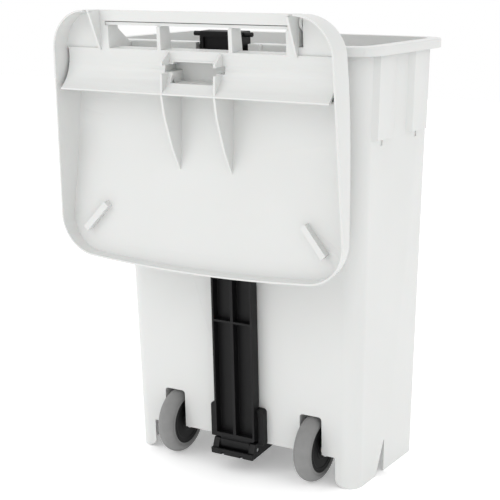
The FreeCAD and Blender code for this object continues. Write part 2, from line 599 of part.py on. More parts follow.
def rod_foot():
    """The narrower foot under the rod, with the slot that rides on the foot pin."""
    y0, y1 = ROD_STANDOFF + 2, ROD_STANDOFF + ROD_THICK - 2
    neck = along_wall(box(-FOOT_HALF, FOOT_HALF, y0, y1, FOOT_PIN_Z + 6, ROD_FOOT_Z + 1))
    eye = rod_x(-FOOT_HALF, FOOT_HALF, FOOT_PIN_Y, FOOT_PIN_Z, 10.0)
    eye = eye.fuse(box(-FOOT_HALF, FOOT_HALF, FOOT_PIN_Y - 10, FOOT_PIN_Y + 10, FOOT_PIN_Z, FOOT_PIN_Z + 12))
    foot = neck.fuse(eye)
    reach = FOOT_PIN_RADIUS + 0.35
    end = FOOT_HALF + 1
    slot = box(-end, end, FOOT_PIN_Y - 3, FOOT_PIN_Y + 3, FOOT_PIN_Z - reach, FOOT_PIN_Z + reach)
    for y in (-3, 3):
        slot = slot.fuse(rod_x(-end, end, FOOT_PIN_Y + y, FOOT_PIN_Z, reach))
    return foot.cut(slot).removeSplitter()


def make_head():
    """The head block that carries the cross pin over the rim."""
    half = ROD_WIDTH / 2
    top = HEAD_PIN_Z + HEAD_OVER
    block = box(-half, half, ROD_STANDOFF + 2, HEAD_PIN_OFF + HEAD_FRONT, ROD_TOP_Z + 0.1, top)
    block = rounded(block, 2.0, lambda e: abs(e.BoundBox.ZMin - top) < 0.01)
    block = block.cut(box(-half + 7, half - 7, HEAD_PIN_OFF + 5, HEAD_PIN_OFF + 20, ROD_TOP_Z + 8, HEAD_PIN_Z - 5))
    block = block.cut(rod_x(-half - 1, half + 1, HEAD_PIN_OFF, HEAD_PIN_Z, HEAD_PIN_RADIUS))
    return block


def make_head_pin():
    return rod_x(-HEAD_PIN_HALF, HEAD_PIN_HALF, HEAD_PIN_OFF, HEAD_PIN_Z, HEAD_PIN_RADIUS)


# ---- rod guides on the rear wall ----------------------------------------------------------
def make_upper_guide():
    """A strap over the rod, high on the rear wall."""
    half = ROD_WIDTH / 2 + LOOSE
    y_in = ROD_STANDOFF + ROD_THICK + LOOSE
    z0, z1 = TOP_SCREW_Z - STRAP_HEIGHT / 2, TOP_SCREW_Z + STRAP_HEIGHT / 2
    strap = box(-half - 22, half + 22, 0.1, 4.0, z0, z1)
    strap = strap.fuse(box(-half - 4, half + 4, 0.1, y_in + 4, z0, z1))
    strap = strap.cut(box(-half, half, -1, y_in, z0 - 1, z1 + 1))
    for side in (-1, 1):
        strap = strap.cut(Part.makeCylinder(GUIDE_SCREW, 8, Vector(side * (half + 14), -1, (z0 + z1) / 2), Y_AXIS))
    return along_wall(strap)


def make_lower_guide():
    """Cheeks either side of the lever slot, joined over its top."""
    half = ROD_WIDTH / 2 + LOOSE
    out = half + LOW_GUIDE_WALL
    guide = box(-out, out, 0.1, 15.0, REAR_CUT_Z + 1, LOW_GUIDE_Z)
    guide = rounded(guide, 7.0, lambda e: abs(e.BoundBox.ZMin - LOW_GUIDE_Z) < 0.01 and e.BoundBox.YLength > 10)
    guide = guide.cut(box(-half, half, 3.4, 20, REAR_CUT_Z, LOW_GUIDE_Z + 9))
    guide = guide.cut(box(-LEVER_WIDTH / 2 - 1, LEVER_WIDTH / 2 + 1, -1, 20, REAR_CUT_Z, LEVER_CUT_Z))
    for side in (-1, 1):
        guide = guide.cut(Part.makeCylinder(GUIDE_SCREW, 8, Vector(side * LOW_SCREW_X, -1, LOW_SCREW_Z), Y_AXIS))
    return along_wall(guide)


def make_guide_screws():
    screws = []
    half = ROD_WIDTH / 2 + LOOSE
    for side in (-1, 1):
        at = Vector(side * (half + 14), -SCREW_GRIP, TOP_SCREW_Z)
        shank = Part.makeCylinder(GUIDE_SCREW, 4.0 + SCREW_GRIP, at, Y_AXIS)
        head = Part.makeCylinder(4.0, 1.8, Vector(side * (half + 14), 4.0, TOP_SCREW_Z), Y_AXIS)
        screws.append(along_wall(shank.fuse(head).removeSplitter()))
        at = Vector(side * LOW_SCREW_X, -SCREW_GRIP, LOW_SCREW_Z)
        screws.append(along_wall(Part.makeCylinder(GUIDE_SCREW, 3.4 + SCREW_GRIP, at, Y_AXIS)))
    return screws


def guide_screw_holes():
    """Blind holes in the tub's rear wall for the guide screws."""
    half = ROD_WIDTH / 2 + LOOSE
    places = [(half + 14, TOP_SCREW_Z), (LOW_SCREW_X, LOW_SCREW_Z)]
    radius, depth = GUIDE_SCREW + PILOT_GAP, SCREW_GRIP + PILOT_GAP
    return [along_wall(Part.makeCylinder(radius, depth + 3, Vector(side * x, -depth, z), Y_AXIS))
            for side in (-1, 1) for x, z in places]


# ---- pedal lever ---------------------------------------------------------------------------
def at_rest(shape):
    """Lower the lever's rear end from level to its rest angle."""
    return shape.rotated(Vector(0, PIVOT_Y, PIVOT_Z), X_AXIS, -LEVER_REST)


def make_lever():
    """An upside-down tray from the pedal to the rod's foot, with a barrel on its axle."""
    half = LEVER_WIDTH / 2
    neck = BLOCK_INNER - 4.0
    z0, z1 = PIVOT_Z - LEVER_HEIGHT / 2, PIVOT_Z + LEVER_HEIGHT / 2
    rear = PIVOT_Y + LEVER_REACH + FORK_ROOM + LEVER_WALL
    front = PEDAL_FRONT_Y + PEDAL_DEPTH - 10
    plan = [(-neck, front), (neck, front), (neck, PIVOT_Y + 40), (half, PIVOT_Y + 130), (half, rear),
            (-half, rear), (-half, PIVOT_Y + 130), (-neck, PIVOT_Y + 40)]
    ring = [Vector(x, y, z0) for x, y in plan]
    arm = Part.Face(Part.makePolygon(ring + ring[:1])).extrude(Vector(0, 0, z1 - z0))
    thin, wide, back = neck - LEVER_WALL, half - LEVER_WALL, rear - FORK_BACK
    inner = [(-thin, front + 6), (thin, front + 6), (thin, PIVOT_Y + 40), (wide, PIVOT_Y + 132),
             (wide, back), (-wide, back), (-wide, PIVOT_Y + 132), (-thin, PIVOT_Y + 40)]
    ring = [Vector(x, y, z0 - 1) for x, y in inner]
    tray = Part.Face(Part.makePolygon(ring + ring[:1])).extrude(Vector(0, 0, z1 - z0 + 1 - LEVER_WALL))
    arm = arm.cut(tray)
    # cross ribs inside, and the open fork that takes the foot
    for y in (PIVOT_Y - 30, PIVOT_Y + 60, PIVOT_Y + 125):
        arm = arm.fuse(box(-neck, neck, y - 1.5, y + 1.5, z0, z1 - 1))
    arm = arm.fuse(box(-1.5, 1.5, PIVOT_Y, back + 1, z0, z1 - 1))
    pin_y = PIVOT_Y + LEVER_REACH
    room = FOOT_HALF + 0.8
    lip_z = z0 + REAR_LIP
    arm = arm.cut(box(-room, room, pin_y - FORK_ROOM, pin_y + FORK_ROOM, z0 + 2.5, z1 + 1))
    # the rear end is low between and outside the fork's cheeks, with two drain notches
    arm = arm.cut(box(-room, room, pin_y, rear + 1, lip_z, z1 + 1))
    arm = arm.cut(plate_x([(pin_y + 7, z1 + 1), (rear + 1, z1 + 1), (rear + 1, lip_z), (pin_y + 15, lip_z)],
                          -half - 1, half + 1))
    for x in (-20, 20):
        arm = arm.cut(box(x - 2.5, x + 2.5, rear - 3, rear + 1, z0 - 1, z0 + 5))
    barrel = rod_x(-neck, neck, PIVOT_Y, PIVOT_Z, 10.0)
    arm = fused([arm, barrel])
    arm = arm.cut(rod_x(-60, 60, PIVOT_Y, PIVOT_Z, LEVER_AXLE_RADIUS + RUNNING))
    arm = arm.cut(rod_x(-60, 60, pin_y, PIVOT_Z, FOOT_PIN_RADIUS))
    return at_rest(arm)


def make_pedal():
    """The tread that the foot presses, capping the lever's front end."""
    half = PEDAL_WIDTH / 2
    y0, y1 = PEDAL_FRONT_Y, PEDAL_FRONT_Y + PEDAL_DEPTH
    z0, z1 = PIVOT_Z - 12, PIVOT_Z + LEVER_HEIGHT / 2 + 5
    points = [(y1, z1 - 2), (y0 + 14, z1), (y0, z1 - 12), (y0, z0 + 4), (y0 + 4, z0), (y1, z0)]
    pad = plate_x(points, -half, half)
    hollow = plate_x([(y1 + 1, z1 - 6), (y0 + 14, z1 - 5), (y0 + 4, z1 - 14), (y0 + 4, z0 - 1),
                      (y1 + 1, z0 - 1)], -half + 4, half - 4)
    pad = pad.cut(hollow)
    neck = BLOCK_INNER - 4.0
    front = PEDAL_FRONT_Y + PEDAL_DEPTH - 10
    for side in (-1, 1):
        pad = pad.fuse(box(side * (neck + 0.2), side * (neck + 4.2), y0 + 2, y1, z0, z1 - 4))
    pad = pad.fuse(box(-half + 2, half - 2, y0 + 30, y0 + 34, z0 + 6, z1 - 4))
    # grip ribs across the tread
    for k in range(5):
        y = y0 + 19 + 8 * k
        pad = pad.fuse(box(-half + 8, half - 8, y, y + 3, z1 - 3, z1 + 1))
    pad = pad.cut(box(-neck - 0.2, neck + 0.2, front - 0.2, y1 + 1, z0 - 1, PIVOT_Z + LEVER_HEIGHT / 2 + 0.2))
    return at_rest(pad.removeSplitter())


def make_pivot_block(side):
    """One of the two bearing blocks under the floor that carry the lever's axle."""
    x0, x1 = side * (BLOCK_INNER + CLEAR), side * (BLOCK_INNER + CLEAR + BLOCK_THICK)
    block = plate_x([(PIVOT_Y - 26, FLOOR_Z), (PIVOT_Y - 10, PIVOT_Z - 6), (PIVOT_Y + 10, PIVOT_Z - 6),
                     (PIVOT_Y + 26, FLOOR_Z)], x0, x1)
    block = block.fuse(rod_x(x0, x1, PIVOT_Y, PIVOT_Z, 11.5))
    block = block.fuse(box(x0, x1 + side * 16, PIVOT_Y - 26, PIVOT_Y + 26, FLOOR_Z - 5, FLOOR_Z))
    block = block.cut(rod_x(x0 - side, x1 + side, PIVOT_Y, PIVOT_Z, LEVER_AXLE_RADIUS))
    for y in (-17, 17):
        block = block.cut(Part.makeCylinder(2.2, 8, Vector(x1 + side * 8, PIVOT_Y + y, FLOOR_Z - 6), Z_AXIS))
    return block.removeSplitter()


def block_screw_holes():
    """Blind holes in the tub's floor for the bearing block screws."""
    x = BLOCK_INNER + CLEAR + BLOCK_THICK + 8
    return [Part.makeCylinder(2.2, 6.0, Vector(side * x, PIVOT_Y + y, FLOOR_Z - 3.0), Z_AXIS)
            for side in (-1, 1) for y in (-17, 17)]


def make_block_screws():
    screws = []
    for side in (-1, 1):
        for y in (-17, 17):
            at = Vector(side * (BLOCK_INNER + CLEAR + BLOCK_THICK + 8), PIVOT_Y + y, 0)
            head = Part.makeCylinder(4.2, 2.4, at + Vector(0, 0, FLOOR_Z - 7.4), Z_AXIS)
            shank = Part.makeCylinder(2.2, 8.0, at + Vector(0, 0, FLOOR_Z - 5.0), Z_AXIS)
            screws.append(head.fuse(shank).removeSplitter())
    return screws


def make_lever_axle():
    reach = BLOCK_INNER + CLEAR + BLOCK_THICK + NUT_GRIP
    return rod_x(-reach, reach, PIVOT_Y, PIVOT_Z, LEVER_AXLE_RADIUS)


def make_foot_pin():
    half = LEVER_WIDTH / 2
    return at_rest(rod_x(-half + 1, half - 1, PIVOT_Y + LEVER_REACH, PIVOT_Z, FOOT_PIN_RADIUS))


# ---- wheels --------------------------------------------------------------------------------
def wheel_x(side, out):
    """A place along a wheel's axle; out is from the wheel's middle, towards the outside."""
    return side * (WHEEL_X + out)


def turned(side, points):
    """A solid of revolution about the wheel's axle from (out, radius) points."""
    ring = [Vector(wheel_x(side, out), WHEEL_Y, WHEEL_Z + radius) for out, radius in points]
    face = Part.Face(Part.makePolygon(ring + ring[:1]))
    return face.revolve(Vector(0, WHEEL_Y, WHEEL_Z), X_AXIS, 360)


def make_tyre(side):
    """A solid tyre with a round tread."""
    half = WHEEL_WIDTH / 2
    low = HUB_RADIUS
    a = Vector(wheel_x(side, -half), WHEEL_Y, WHEEL_Z + low)
    b = Vector(wheel_x(side, -half), WHEEL_Y, WHEEL_Z + WHEEL_RADIUS - 11)
    top = Vector(wheel_x(side, 0), WHEEL_Y, WHEEL_Z + WHEEL_RADIUS)
    c = Vector(wheel_x(side, half), WHEEL_Y, WHEEL_Z + WHEEL_RADIUS - 11)
    e = Vector(wheel_x(side, half), WHEEL_Y, WHEEL_Z + low)
    edges = [Part.LineSegment(a, b).toShape(), Part.Arc(b, top, c).toShape(),
             Part.LineSegment(c, e).toShape(), Part.LineSegment(e, a).toShape()]
    return Part.Face(Part.Wire(edges)).revolve(Vector(0, WHEEL_Y, WHEEL_Z), X_AXIS, 360)


def make_hub(side):
    """A dished disc with a rim band and a centre barrel."""
    half = WHEEL_WIDTH / 2 - 1.0
    rim = HUB_RADIUS
    seat = half - CAP_THICK
    points = [(-half, rim), (-half, CAP_RADIUS), (-seat, CAP_RADIUS), (-seat, CAP_RADIUS - 2),
              (-5, CAP_RADIUS - 3),
              (-3, BARREL_RADIUS + 3), (-seat, BARREL_RADIUS), (-half - 1, BARREL_RADIUS), (-half - 1, BUSH_RADIUS),
              (half + 1, BUSH_RADIUS), (half + 1, BARREL_RADIUS), (seat, BARREL_RADIUS), (3, BARREL_RADIUS + 3),
              (5, CAP_RADIUS - 3), (seat, CAP_RADIUS - 2), (seat, CAP_RADIUS), (half, CAP_RADIUS), (half, rim)]
    return turned(side, points)


def make_bush(side):
    half = WHEEL_WIDTH / 2 + 1.0
    bore = AXLE_RADIUS + RUNNING
    return turned(side, [(-half, bore), (-half, BUSH_RADIUS), (half, BUSH_RADIUS), (half, bore)])


def make_hub_cap(side, face):
    """A flat cover disc pressed into the hub; face is -1 for the inner side, +1 for the outer."""
    out = face * (WHEEL_WIDTH / 2 - 1.0)
    inner = face * (WHEEL_WIDTH / 2 - 1.0 - CAP_THICK)
    return turned(side, [(inner, BARREL_RADIUS), (inner, CAP_RADIUS), (out, CAP_RADIUS), (out, BARREL_RADIUS)])


def make_axle(side):
    """A headed stub axle through both sides of the well."""
    reach = WELL_HALF + WELL_WALL
    shaft = rod_x(wheel_x(side, -reach - NUT_GRIP), wheel_x(side, reach + 3), WHEEL_Y, WHEEL_Z, AXLE_RADIUS)
    head = rod_x(wheel_x(side, reach), wheel_x(side, reach + 3), WHEEL_Y, WHEEL_Z, 9.0)
    return shaft.fuse(head).removeSplitter()


def push_nut(x, direction, y, z, radius):
    """A dished spring nut pushed onto an axle's end, its mouth against the face at x."""
    points = [(0.0, 5.0), (0.0, 5.8), (1.2, 5.8), (3.2, 0.0), (2.0, 0.0)]
    ring = [Vector(x + direction * out, y, z + radius + rise) for out, rise in points]
    face = Part.Face(Part.makePolygon(ring + ring[:1]))
    return face.revolve(Vector(0, y, z), X_AXIS, 360)


def make_push_nuts():
    """Nuts on the inner ends of the wheel axles and on both ends of the lever's axle."""
    well_x = WHEEL_X - WELL_HALF - WELL_WALL
    block_x = BLOCK_INNER + CLEAR + BLOCK_THICK
    nuts = [push_nut(side * well_x, -side, WHEEL_Y, WHEEL_Z, AXLE_RADIUS) for side in (-1, 1)]
    nuts += [push_nut(side * block_x, side, PIVOT_Y, PIVOT_Z, LEVER_AXLE_RADIUS) for side in (-1, 1)]
    return nuts


# ---- all the parts -------------------------------------------------------------------------
def make_all():
    parts = {"tub": make_tub(), "bracket_screws": bracket_screw_shapes(0.0),
             "upper_rod_guide": make_upper_guide(), "lower_rod_guide": make_lower_guide(),
             "guide_screws": make_guide_screws(), "block_screws": make_block_screws(),
             "lever_axle": make_lever_axle(), "push_nuts": make_push_nuts(),
             "lid": hung(make_lid()),
             "lift_rod": make_rod(),
             "rod_head": along_wall(make_head()), "head_pin": along_wall(make_head_pin()),
             "pedal_lever": make_lever(), "pedal_tread": make_pedal(), "foot_pin": make_foot_pin()}
    for name, side in (("left", -1), ("right", 1)):
        parts["hinge_bracket_" + name] = make_bracket(side)
        parts["hinge_pin_" + name] = hung(make_hinge_pin(side))
        parts["pivot_block_" + name] = make_pivot_block(side)
        parts["wheel_axle_" + name] = make_axle(side)
        parts["tyre_" + name] = make_tyre(side)
        parts["wheel_hub_" + name] = make_hub(side)
        parts["wheel_bush_" + name] = make_bush(side)
        parts["outer_hub_cap_" + name] = make_hub_cap(side, 1)
        parts["inner_hub_cap_" + name] = make_hub_cap(side, -1)
    return {name: Part.makeCompound(shape) if isinstance(shape, list) else shape
            for name, shape in parts.items()}


def main():
    parts = make_all()
    boxes = [shape.optimalBoundingBox(False) for shape in parts.values()]
    low = min(b.YMin for b in boxes)
    high = max(b.YMax for b in boxes)
    shift = -(low + high) / 2.0
    os.makedirs("parts", exist_ok=True)
    for name, shape in parts.items():
        shape = shape.copy()
        shape.translate(Vector(0, shift, 0))
        if not shape.isValid():
            print("not valid:", name)
        shape.exportStep("parts/" + name + ".step")
        print("%-22s solids %d volume %.0f" % (name, len(shape.Solids), shape.Volume))
    print("shift %.3f  depth %.2f  top %.2f" % (shift, high - low, max(b.ZMax for b in boxes)))
    print("width %.2f" % (max(b.XMax for b in boxes) - min(b.XMin for b in boxes)))
    print("lid hinge y %.3f z %.3f" % (HINGE_Y + shift, HINGE_Z))
    print("pedal pivot y %.3f z %.3f" % (PIVOT_Y + shift, PIVOT_Z))
    print("wheel axle y %.3f z %.3f" % (WHEEL_Y + shift, WHEEL_Z))
    print("rod direction 0 %.5f %.5f" % (REAR_SLOPE / math.hypot(1, REAR_SLOPE), 1 / math.hypot(1, REAR_SLOPE)))
    start, stop = math.radians(LEVER_REST), math.radians(LEVER_REST - LEVER_TRAVEL)
    rise = LEVER_REACH * (math.sin(start) - math.sin(stop))
    print("rod travel %.3f per radian %.4f" % (rise, rise / math.radians(LEVER_TRAVEL)))


main()
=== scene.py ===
import json
import math

import bmesh
import bpy
from mathutils import Matrix, Vector


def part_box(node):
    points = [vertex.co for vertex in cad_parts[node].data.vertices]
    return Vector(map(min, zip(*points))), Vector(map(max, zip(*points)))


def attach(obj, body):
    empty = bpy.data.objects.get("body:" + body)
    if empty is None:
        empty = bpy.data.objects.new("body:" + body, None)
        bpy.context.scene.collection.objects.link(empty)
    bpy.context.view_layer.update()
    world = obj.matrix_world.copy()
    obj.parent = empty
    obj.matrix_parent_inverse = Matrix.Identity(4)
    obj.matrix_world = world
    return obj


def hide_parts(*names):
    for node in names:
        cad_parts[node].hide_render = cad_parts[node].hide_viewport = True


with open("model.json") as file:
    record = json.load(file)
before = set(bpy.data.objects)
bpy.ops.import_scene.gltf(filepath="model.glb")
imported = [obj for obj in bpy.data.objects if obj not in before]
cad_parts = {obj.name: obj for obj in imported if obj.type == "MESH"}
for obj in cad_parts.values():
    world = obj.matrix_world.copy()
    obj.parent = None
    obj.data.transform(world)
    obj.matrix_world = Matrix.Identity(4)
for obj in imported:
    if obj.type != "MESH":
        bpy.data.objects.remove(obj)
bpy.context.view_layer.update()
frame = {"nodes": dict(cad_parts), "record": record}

nodes = frame["nodes"]
mm = 0.001
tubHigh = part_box("tub")[1]
wallTop = tubHigh[1] - 20.8 * mm  # outside of the rear wall at rim height


def hexToLinear(text):
    # sRGB hex to the linear values that shaders take
    channels = [int(text[i:i + 2], 16) / 255 for i in (0, 2, 4)]
    linear = [c / 12.92 if c <= 0.04045 else ((c + 0.055) / 1.055) ** 2.4 for c in channels]
    return (*linear, 1.0)


def addNode(tree, kind, settings=None, links=None):
    # adds one node: settings are its properties or its inputs' values, links are sockets to plug in
    node = tree.nodes.new(kind)
    for key, value in (settings or {}).items():
        if isinstance(key, int) or key in node.inputs:
            node.inputs[key].default_value = value
        else:
            setattr(node, key, value)
    for key, socket in (links or {}).items():
        tree.links.new(socket, node.inputs[key])
    return node


def startMaterial(name):
    material = bpy.data.materials.new(name)
    material.use_nodes = True
    tree = material.node_tree
    tree.nodes.clear()
    place = addNode(tree, "ShaderNodeTexCoord")
    return material, tree, place.outputs["Object"]


def finishMaterial(tree, shader):
    addNode(tree, "ShaderNodeOutputMaterial", links={"Surface": shader.outputs[0]})


def stretched(tree, value, low, high):
    # maps a 0..1 pattern onto low..high
    ramp = addNode(tree, "ShaderNodeMapRange", {"To Min": low, "To Max": high}, {"Value": value})
    return ramp.outputs[0]


# ---- materials ----

stageSettings = {"floorSize": 12.0, "key": 17.0, "fill": 3.0, "back": 7.0, "sky": 1.0,
                 "floorGlow": 0.26}

whiteSettings = {"pale": "D7D8D7", "dull": "D2D3D1", "ior": 1.49, "roughness": (0.34, 0.46),
                 "flowMm": 160, "grainMm": 1.1, "grainDepth": 0.035 * mm, "glow": 0.04}


def injectionMouldedWhitePolypropylene(s=whiteSettings):
    # satin white, faintly uneven where the melt flowed, with a fine spark-eroded grain
    material, tree, place = startMaterial("injection-moulded white polypropylene")
    flow = addNode(tree, "ShaderNodeTexNoise", {"Scale": 1 / (s["flowMm"] * mm), "Detail": 3.0}, {"Vector": place})
    grain = addNode(tree, "ShaderNodeTexNoise", {"Scale": 1 / (s["grainMm"] * mm), "Detail": 2.0},
                    {"Vector": place})
    colour = addNode(tree, "ShaderNodeMix", {"data_type": "RGBA", 6: hexToLinear(s["pale"]),
                                             7: hexToLinear(s["dull"])}, {0: flow.outputs["Fac"]})
    bump = addNode(tree, "ShaderNodeBump", {"Strength": 0.5, "Distance": s["grainDepth"]},
                   {"Height": grain.outputs["Fac"]})
    shader = addNode(tree, "ShaderNodeBsdfPrincipled",
                     {"IOR": s["ior"], "Subsurface Weight": s["glow"], "Subsurface Scale": 4 * mm},
                     {"Base Color": colour.outputs[2], "Normal": bump.outputs[0],
                      "Roughness": stretched(tree, flow.outputs["Fac"], *s["roughness"])})
    finishMaterial(tree, shader)
    return material


blackSettings = {"deep": "09090A", "worn": "101011", "ior": 1.46, "sheen": 0.3, "roughness": (0.4, 0.55),
                 "flowMm": 60, "grainMm": 0.9, "grainDepth": 0.05 * mm}


def injectionMouldedBlackPolypropylene(s=blackSettings):
    # satin near-black with soft streaks of handling, and the same fine grain
    material, tree, place = startMaterial("injection-moulded black polypropylene")
    streak = addNode(tree, "ShaderNodeMapping", {"Scale": (1.0, 1.0, 0.25)}, {"Vector": place})
    flow = addNode(tree, "ShaderNodeTexNoise", {"Scale": 1 / (s["flowMm"] * mm), "Detail": 5.0},
                   {"Vector": streak.outputs[0]})
    grain = addNode(tree, "ShaderNodeTexNoise", {"Scale": 1 / (s["grainMm"] * mm), "Detail": 2.0},
                    {"Vector": place})
    colour = addNode(tree, "ShaderNodeMix", {"data_type": "RGBA", 6: hexToLinear(s["deep"]),
                                             7: hexToLinear(s["worn"])}, {0: flow.outputs["Fac"]})
    bump = addNode(tree, "ShaderNodeBump", {"Strength": 0.6, "Distance": s["grainDepth"]},
                   {"Height": grain.outputs["Fac"]})
    shader = addNode(tree, "ShaderNodeBsdfPrincipled", {"IOR": s["ior"], "Specular IOR Level": s["sheen"]},
                     {"Base Color": colour.outputs[2], "Normal": bump.outputs[0],
                      "Roughness": stretched(tree, flow.outputs["Fac"], *s["roughness"])})
    finishMaterial(tree, shader)
    return material


tyreSettings = {"fresh": "787878", "scuffed": "8A8A89", "ior": 1.52, "roughness": (0.55, 0.75),
                "scuffMm": 14, "grainMm": 1.4, "grainDepth": 0.12 * mm}


def mouldedGreyThermoplasticRubber(s=tyreSettings):
    # dull mid grey, lighter where the tread has scuffed on floors
    material, tree, place = startMaterial("moulded grey thermoplastic rubber")
    scuff = addNode(tree, "ShaderNodeTexNoise", {"Scale": 1 / (s["scuffMm"] * mm), "Detail": 6.0},
                    {"Vector": place})
    grain = addNode(tree, "ShaderNodeTexNoise", {"Scale": 1 / (s["grainMm"] * mm), "Detail": 3.0},
                    {"Vector": place})
    colour = addNode(tree, "ShaderNodeMix", {"data_type": "RGBA", 6: hexToLinear(s["fresh"]),
                                             7: hexToLinear(s["scuffed"])}, {0: scuff.outputs["Fac"]})
    bump = addNode(tree, "ShaderNodeBump", {"Strength": 0.5, "Distance": s["grainDepth"]},
                   {"Height": grain.outputs["Fac"]})
    shader = addNode(tree, "ShaderNodeBsdfPrincipled", {"IOR": s["ior"]},
                     {"Base Color": colour.outputs[2], "Normal": bump.outputs[0],
                      "Roughness": stretched(tree, scuff.outputs["Fac"], *s["roughness"])})
    finishMaterial(tree, shader)
    return material


zincSettings = {"bright": "C9CCCE", "dull": "A8ABAD", "roughness": (0.22, 0.4), "drawnMm": 0.8}


def zincPlatedDrawnSteel(s=zincSettings):
    # cool bright metal with fine drawing lines along the shaft
    material, tree, place = startMaterial("zinc-plated drawn steel")
    along = addNode(tree, "ShaderNodeMapping", {"Scale": (0.05, 1.0, 1.0)}, {"Vector": place})
    lines = addNode(tree, "ShaderNodeTexNoise", {"Scale": 1 / (s["drawnMm"] * mm), "Detail": 3.0},
                    {"Vector": along.outputs[0]})
    colour = addNode(tree, "ShaderNodeMix", {"data_type": "RGBA", 6: hexToLinear(s["bright"]),
                                             7: hexToLinear(s["dull"])}, {0: lines.outputs["Fac"]})
    shader = addNode(tree, "ShaderNodeBsdfPrincipled", {"Metallic": 1.0},
                     {"Base Color": colour.outputs[2],
                      "Roughness": stretched(tree, lines.outputs["Fac"], *s["roughness"])})
    finishMaterial(tree, shader)
    return material


nylonSettings = {"pale": "E6E1D3", "warm": "D9D2BF", "ior": 1.53, "roughness": (0.3, 0.42), "cloudMm": 8}


def machinedNaturalNylon(s=nylonSettings):
    # milky off-white, a little waxy
    material, tree, place = startMaterial("machined natural nylon")
    cloud = addNode(tree, "ShaderNodeTexNoise", {"Scale": 1 / (s["cloudMm"] * mm)}, {"Vector": place})
    colour = addNode(tree, "ShaderNodeMix", {"data_type": "RGBA", 6: hexToLinear(s["pale"]),
                                             7: hexToLinear(s["warm"])}, {0: cloud.outputs["Fac"]})
    shader = addNode(tree, "ShaderNodeBsdfPrincipled", {"IOR": s["ior"], "Subsurface Weight": 0.1,
                                                        "Subsurface Scale": 3 * mm},
                     {"Base Color": colour.outputs[2],
                      "Roughness": stretched(tree, cloud.outputs["Fac"], *s["roughness"])})
    finishMaterial(tree, shader)
    return material


def paintedStudioFloor():
    # matt off-white sweep
    material, tree, place = startMaterial("painted studio sweep")
    shader = addNode(tree, "ShaderNodeBsdfPrincipled",
                     {"Base Color": hexToLinear("FAFAFA"), "Roughness": 0.9, "Emission Color": (1, 1, 1, 1),
                      "Emission Strength": stageSettings["floorGlow"]})
    finishMaterial(tree, shader)
    return material


white = injectionMouldedWhitePolypropylene()
black = injectionMouldedBlackPolypropylene()
rubber = mouldedGreyThermoplasticRubber()
steel = zincPlatedDrawnSteel()
nylon = machinedNaturalNylon()
finishes = {"white_plastic": white, "black_plastic": black, "grey_tyre": rubber,
            "steel": steel, "bush_plastic": nylon}
slotOf = {part["node"]: part["material_slot"] for part in frame["record"]["subparts"]}
bodyOf = {name: body for body, names in frame["record"]["behaviour"]["bodies"].items() for name in names}
for name, node in nodes.items():
    node.data.materials.clear()
    node.data.materials.append(finishes[slotOf[name]])
print("materials: finishes given to", len(nodes), "frame parts")


# ---- moulded edges ----

edgeSettings = {"tub": 1.2, "lid": 1.1, "lift_rod": 0.7, "rod_head": 0.8, "pedal_lever": 0.8,
                "pedal_tread": 1.2, "upper_rod_guide": 0.7, "lower_rod_guide": 0.7,
                "hinge_bracket_left": 0.7, "hinge_bracket_right": 0.7,
                "pivot_block_left": 0.7, "pivot_block_right": 0.7}


def softened(name, width):
    # a copy of a moulded part with its edges rounded, as every moulding's are
    mesh = nodes[name].data.copy()
    piece = bpy.data.objects.new(name + "_moulded", mesh)
    bpy.context.scene.collection.objects.link(piece)
    work = bmesh.new()
    work.from_mesh(mesh)
    bmesh.ops.remove_doubles(work, verts=work.verts, dist=0.005 * mm)
    bmesh.ops.dissolve_limit(work, angle_limit=math.radians(0.6), verts=work.verts, edges=work.edges)
    work.to_mesh(mesh)
    work.free()
    mesh.polygons.foreach_set("use_smooth", [True] * len(mesh.polygons))
    mesh.set_sharp_from_angle(angle=math.radians(26))
    edges = piece.modifiers.new("mouldedEdges", "BEVEL")
    edges.width = width * mm
    edges.segments = 2
    edges.limit_method = "ANGLE"
    edges.angle_limit = math.radians(26)
    edges.harden_normals = True
    edges.use_clamp_overlap = True
    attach(piece, bodyOf[name])
    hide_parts(name)
    return piece


moulded = {name: softened(name, width) for name, width in edgeSettings.items() if name in nodes}
print("moulded edges:", len(moulded), "pieces")

# ---- turned pieces: tyres, hubs, caps, bushes, axles, pins and push nuts ----

turnedSettings = {"segments": 128, "filletSteps": 6, "pathRadius": 20 * mm}


def addSocket(tree, name, kind, value=None):
    socket = tree.interface.new_socket(name, in_out="INPUT", socket_type=kind)
    if value is not None:
        socket.default_value = value
    return socket.identifier


